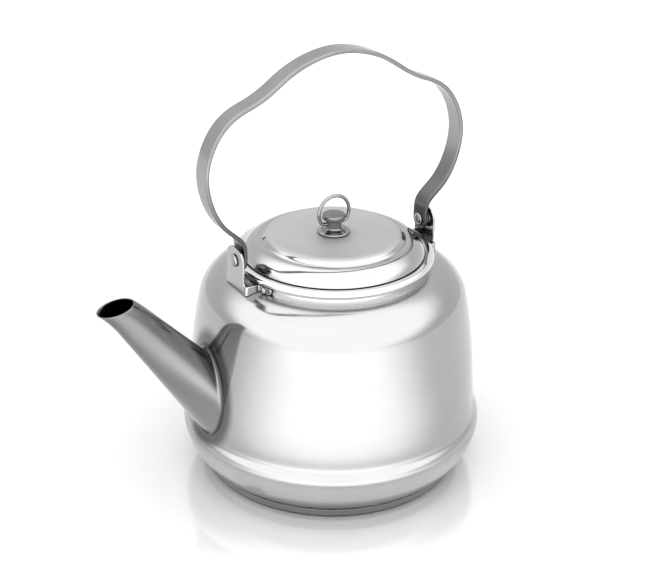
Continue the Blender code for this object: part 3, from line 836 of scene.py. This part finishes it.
def steel(
    name,
    shade,
    roughness,
    marks=turning_marks,
    mark_depth=0.05,
    mark_rough=0.04,
    wave=0.0,
    wear_and_painted_light=None,
    satin=None,
    foot=None,
    painted_root_shade=None,
    **laid,
):
    """Stainless steel: marks of its making, cloudy wear in colour and gloss, slight waves of hand polishing,
    and, on some pieces, painted light and shade in its tone.

    The edge wear is (measure, where it starts, where it is full, change of tone, change of roughness):
    rubbed wear on most pieces, painted light on the knob's foot and painted shade on the strap's edges.
    satin is (roughness, radius where it starts to fade, radius where the polish is full).
    foot is (low height, high height, share of the tone at the low one, share at the high one): painted light
    and shade by height.
    The painted root shade is (point on an axis, its tilt, near distance, far distance, share of the tone
    near, share far), darkening the tone round the spout's root.
    """
    finish = Finish(name)
    shader = finish.shader
    shader.inputs["Metallic"].default_value = 1.0
    place = finish.place()
    lines, local = marks(finish, **laid)
    cloud = finish.noise(place, 42.0, detail=4.0)
    fine = finish.noise(place, 900.0, detail=3.0)

    rough = finish.ranged(cloud, 0.3, 0.7, roughness * 0.82, roughness * 1.2)
    if satin:
        dull, inside, outside = satin
        extra = eased(finish, finish.radius(local), inside, outside, dull - roughness, 0.0)
        rough = finish.maths("ADD", rough, extra)
    rough = finish.maths("ADD", rough, finish.ranged(lines, 0.25, 0.75, -mark_rough, mark_rough))
    rough = finish.maths("ADD", rough, finish.ranged(fine, 0.62, 0.8, 0.0, 0.05))

    tone = finish.ranged(cloud, 0.25, 0.75, 0.975, 1.02)
    tone = finish.maths("MULTIPLY", tone, finish.ranged(lines, 0.25, 0.75, 0.985, 1.015))
    # rubbed wear at edges; on the knob's foot it is painted light and on the strap's edges painted shade
    if wear_and_painted_light:
        measure, start, full, paler, rougher = wear_and_painted_light
        if measure == "radius":
            amount = finish.radius(local)
        elif measure == "height":
            amount = finish.part(local, "Z")
        else:
            amount = finish.maths("ABSOLUTE", finish.part(finish.plan(), "Y"), 0.0)
        edge = eased(finish, amount, start, full, 0.0, 1.0)
        patchy = finish.maths("MULTIPLY", edge, finish.ranged(cloud, 0.35, 0.65, 0.6, 1.0))
        rough = finish.maths("ADD", rough, finish.maths("MULTIPLY", patchy, rougher))
        tone = finish.maths("ADD", tone, finish.maths("MULTIPLY", patchy, paler))
    # painted light and shade: tone scaled by height, lighter low on the spout and darker low on the strap
    if foot:
        tone = finish.maths("MULTIPLY", tone, eased(finish, finish.part(place, "Z"), *foot))
    # painted shade: tone darkened near an axis, round the spout's root on the body and the spout
    if painted_root_shade:
        centre, tilt, *change = painted_root_shade
        away = finish.radius(finish.about(centre, tilt))
        tone = finish.maths("MULTIPLY", tone, eased(finish, away, *change))
    tone = finish.maths("MULTIPLY", tone, shade)
    colour = finish.node("ShaderNodeCombineColor")
    finish.join(tone, colour.inputs["Red"])
    finish.join(tone, colour.inputs["Green"])
    finish.join(finish.maths("MULTIPLY", tone, 1.004), colour.inputs["Blue"])
    finish.join(colour.outputs["Color"], shader.inputs["Base Color"])
    finish.join(finish.maths("MAXIMUM", rough, 0.02), shader.inputs["Roughness"])

    line_bump = finish.bump(lines, mark_depth, 0.00002)
    wave_bump = finish.bump(finish.noise(place, 28.0, detail=1.0), 1.0, wave * MM)
    finish.join(line_bump.outputs["Normal"], wave_bump.inputs["Normal"])
    finish.join(wave_bump.outputs["Normal"], shader.inputs["Normal"])
    return finish.material


def make_steels():
    """The finish of each kind of piece. Shade is the steel's reflectance on that piece; the neck's high
    shade is painted light and the base's low shade painted shade.
    """
    rubbed = (0.03, 0.06)  # change of tone and of roughness at a rubbed edge
    axis, raised, _ = spout_frame()
    root = tuple(SPOUT_ROOT * MM)
    low_root = tuple((SPOUT_ROOT - 2.0 * raised) * MM)  # so that the painted shade on the fillet stays off the underside
    lean = (0.0, math.atan2(axis[0], axis[2]), 0.0)
    return {
        "body": steel(
            "satin_body_steel",
            0.45,
            0.13,
            wave=0.008,
            wear_and_painted_light=("radius", 97.5, 100.0, *rubbed),
            satin=(0.26, 64.0, 78.0),
            # painted shade and painted reflection of the spout: the wall darkened round the spout's root
            painted_root_shade=(root, lean, 24.5, 31.5, 0.42, 1.0),
        ),
        "base": steel(
            "spun_base_steel",
            # painted shade: a low shade that darkens the base under the bead
            0.25,
            0.22,
            mark_rough=0.06,
            mark_depth=0.2,
            wear_and_painted_light=("radius", 80.0, 87.0, *rubbed),
        ),
        # painted light: a high shade that brightens the neck
        "neck": steel("polished_neck_steel", 0.74, 0.07, wave=0.006, wear_and_painted_light=("radius", 64.0, 65.6, *rubbed)),
        "spout": steel(
            "polished_spout_steel",
            0.24,
            0.17,
            wave=0.02,
            # painted light: the spout lighter low down and darker high up
            foot=(76.0, 138.0, 1.22, 0.93),
            # painted shade: the flare at the spout's root darkened
            painted_root_shade=(low_root, lean, 19.4, 20.5, 1.0, 0.35),
            centre=root,
            tilt=lean,
        ),
        "lid": steel(
            "satin_lid_steel",
            0.48,
            0.09,
            mark_rough=0.03,
            wear_and_painted_light=("radius", 56.0, 59.5, *rubbed),
            satin=(0.58, 43.6, 44.6),
        ),
        "skirt": steel(
            "rolled_skirt_steel", 0.42, 0.22, mark_depth=0.15, wear_and_painted_light=("radius", 56.6, 57.2, *rubbed)
        ),
        "ear": steel(
            "stamped_ear_steel",
            0.46,
            0.18,
            marks=long_marks,
            wave=0.01,
            wear_and_painted_light=("height", 164.0, 168.0, *rubbed),
            along=120.0,
            across=1500.0,
        ),
        "strap": steel(
            "brushed_strap_steel",
            0.35,
            0.2,
            marks=long_marks,
            mark_depth=0.25,
            mark_rough=0.05,
            # painted shade: darker along the strap's two long edges
            wear_and_painted_light=("across", 6.0, 6.7, -0.3, 0.22),
            # painted shade: the strap darkened low down, lighter up its bow
            foot=(170.0, 222.0, 0.5, 1.1),
        ),
        "rivet": steel(
            "headed_rivet_steel", 0.40, 0.16, wave=0.01, wear_and_painted_light=("height", 158.0, 163.0, *rubbed), pitch=1800.0
        ),
        "knob": steel(
            "turned_knob_steel",
            0.26,
            0.1,
            mark_depth=0.1,
            # painted light: the knob's foot painted far lighter than its waist
            wear_and_painted_light=("radius", 7.7, 9.0, 0.7, 0.05),
            pitch=3200.0,
        ),
        "wire": steel(
            "drawn_wire_steel", 0.33, 0.14, wave=0.01, wear_and_painted_light=("height", 184.0, 188.5, *rubbed), pitch=2200.0
        ),
    }


# ---------------------------------------------------------------- floor, light and camera

CAMERA_PLACE = (-0.4463, -0.7446, 0.5455)
CAMERA_FORWARD = (0.4567, 0.7721, -0.4419)
CAMERA_ROLL = math.radians(0.781)
CAMERA_LENS = 81.286
FRONT = np.array([-0.514, -0.858, 0.0])  # level direction from the kettle towards the camera
TENT_RISE = 1.7
TENT_SPAN = (0.15, 1.0)
TENT_RADIANCE = (1.0, 2.1)
PAINTED_POOL_GLOW = 1.1  # painted pool of light: glow added to the table on the camera's side
PAINTED_POOL_START = (0.150, 0.225)  # radius where the painted glow on the table begins, and where it is full
PAINTED_POOL_FRONT = (-0.468, -0.884, 0.0)
TABLE_WHITE = 0.64
TABLE_GLOSS = (0.110, 0.170, 0.3, 0.0)  # inner and outer radius, mirror share at each
PRINT_GAMMA = 0.8  # a little more contrast than the plain view


def make_floor():
    """White table: matt, with a painted pool of light glowing on the camera's side, faintly mirroring round
    the kettle's foot.

    The painted glow is a wedge, full straight towards the camera's side and gone a quarter turn from it.
    """
    rim = np.array([0.0, 0.1, 0.3, 0.7, 1.5, 3.0, 6.0]) / MM
    section = np.stack([rim, np.full(len(rim), -0.05)], axis=1)
    floor = skin("table_top", turned_grid(section, 96)[::-1])
    finish = Finish("white_table_painted_pool")
    shader = finish.shader
    shader.inputs["Base Color"].default_value = (TABLE_WHITE, TABLE_WHITE, TABLE_WHITE, 1.0)
    shader.inputs["Roughness"].default_value = 0.9
    shader.inputs["Specular IOR Level"].default_value = 0.0
    level = finish.level(finish.place())
    radius = finish.vector_maths("LENGTH", level)
    # painted pool of light: emission on the table, not a lamp
    facing = finish.vector_maths("DOT_PRODUCT", finish.vector_maths("NORMALIZE", level), PAINTED_POOL_FRONT)
    wedge = finish.ranged(facing, 0.2, 1.0, 0.0, PAINTED_POOL_GLOW, smooth_step=True)
    pool = finish.maths("MULTIPLY", wedge, finish.ranged(radius, *PAINTED_POOL_START, 0.0, 1.0, smooth_step=True))
    shader.inputs["Emission Color"].default_value = (1.0, 1.0, 1.0, 1.0)
    finish.join(pool, shader.inputs["Emission Strength"])
    gloss = finish.node("ShaderNodeBsdfGlossy")
    gloss.inputs["Roughness"].default_value = 0.12
    gloss.inputs["Color"].default_value = (0.95, 0.95, 0.95, 1.0)
    mix = finish.node("ShaderNodeMixShader")
    finish.join(finish.ranged(radius, *TABLE_GLOSS, smooth_step=True), mix.inputs["Fac"])
    finish.join(shader.outputs["BSDF"], mix.inputs[1])
    finish.join(gloss.outputs["BSDF"], mix.inputs[2])
    finish.join(mix.outputs["Shader"], finish.tree.nodes["Material Output"].inputs["Surface"])
    floor.data.materials.append(finish.material)


def make_light():
    """Light tent: even white all round, brighter on the camera's side and overhead.

    The tent's radiance rises smoothly with direction . FRONT + TENT_RISE * upward part of the direction.
    """
    world = bpy.data.worlds.new("light_tent")
    world.use_nodes = True
    tree = world.node_tree
    background = tree.nodes["Background"]
    background.inputs["Color"].default_value = (1.0, 1.0, 1.0, 1.0)
    place = tree.nodes.new("ShaderNodeTexCoord")
    dot = tree.nodes.new("ShaderNodeVectorMath")
    dot.operation = "DOT_PRODUCT"
    dot.inputs[1].default_value = tuple(FRONT + TENT_RISE * UP)
    ramp = tree.nodes.new("ShaderNodeMapRange")
    ramp.interpolation_type = "SMOOTHSTEP"
    for name, number in zip(("From Min", "From Max", "To Min", "To Max"), (*TENT_SPAN, *TENT_RADIANCE)):
        ramp.inputs[name].default_value = number
    tree.links.new(place.outputs["Generated"], dot.inputs[0])
    tree.links.new(dot.outputs["Value"], ramp.inputs["Value"])
    tree.links.new(ramp.outputs["Result"], background.inputs["Strength"])
    bpy.context.scene.world = world


def make_camera():
    """Camera that looks along CAMERA_FORWARD with its top up, rolled a little about that line."""
    data = bpy.data.cameras.new("camera")
    data.lens = CAMERA_LENS
    data.sensor_width = 36.0
    data.clip_start, data.clip_end = 0.01, 50.0
    camera = bpy.data.objects.new("camera", data)
    bpy.context.collection.objects.link(camera)
    camera.location = CAMERA_PLACE
    turn = Vector(CAMERA_FORWARD).to_track_quat("-Z", "Y").to_matrix()
    camera.rotation_euler = (turn @ Matrix.Rotation(CAMERA_ROLL, 3, "Z")).to_euler()
    bpy.context.scene.camera = camera


# ---------------------------------------------------------------- the whole kettle


def fit(piece, node, body, finish):
    """Gives the piece its finish and puts it in the CAD node's place on that body."""
    piece.data.materials.clear()
    piece.data.materials.append(finish)
    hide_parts(node)
    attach(piece, body)


def build():
    for name in ("Cube", "Light", "Camera"):
        if name in bpy.data.objects:
            bpy.data.objects.remove(bpy.data.objects[name])
    bpy.context.scene.view_settings.view_transform = "Standard"
    bpy.context.scene.view_settings.gamma = PRINT_GAMMA
    steels = make_steels()

    fit(make_body_shell(), "body_shell", "kettle", steels["body"])
    fit(make_base(), "base_pan", "kettle", steels["base"])
    fit(make_neck(), "neck_collar", "kettle", steels["neck"])
    fit(make_spout(), "spout_tube", "kettle", steels["spout"])
    for side, end in ((-1, "front"), (1, "rear")):
        fit(make_ear(f"{end}_ear_plate", side), f"{end}_ear", "kettle", steels["ear"])
        rivet = make_pivot_rivet(f"{end}_rivet", side)
        fit(rivet, f"{end}_pivot_rivet", "kettle", steels["rivet"])
        washer = make_pivot_washer(f"{end}_washer", side)
        fit(washer, f"{end}_pivot_washer", "kettle", steels["rivet"])
        middle = math.pi if side < 0 else 0.0
        for hand, angle in (("left", -WING_RIVET_ANGLE), ("right", WING_RIVET_ANGLE)):
            rivet = make_wing_rivet(f"{end}_{hand}_wing_rivet_head", middle + angle)
            fit(rivet, f"{end}_wing_rivet_{hand}", "kettle", steels["rivet"])
    fit(make_strap(), "handle_strap", "handle", steels["strap"])
    fit(make_lid(), "lid_cap", "lid", steels["lid"])
    fit(make_skirt(), "lid_skirt", "lid", steels["skirt"])
    fit(make_knob(), "knob_spool", "lid", steels["knob"])
    fit(make_knob_screw(), "knob_screw", "lid", steels["rivet"])
    fit(make_knob_washer(), "knob_washer", "lid", steels["rivet"])
    fit(make_ring(), "lid_ring", "ring", steels["wire"])

    make_floor()
    make_light()
    make_camera()


build()
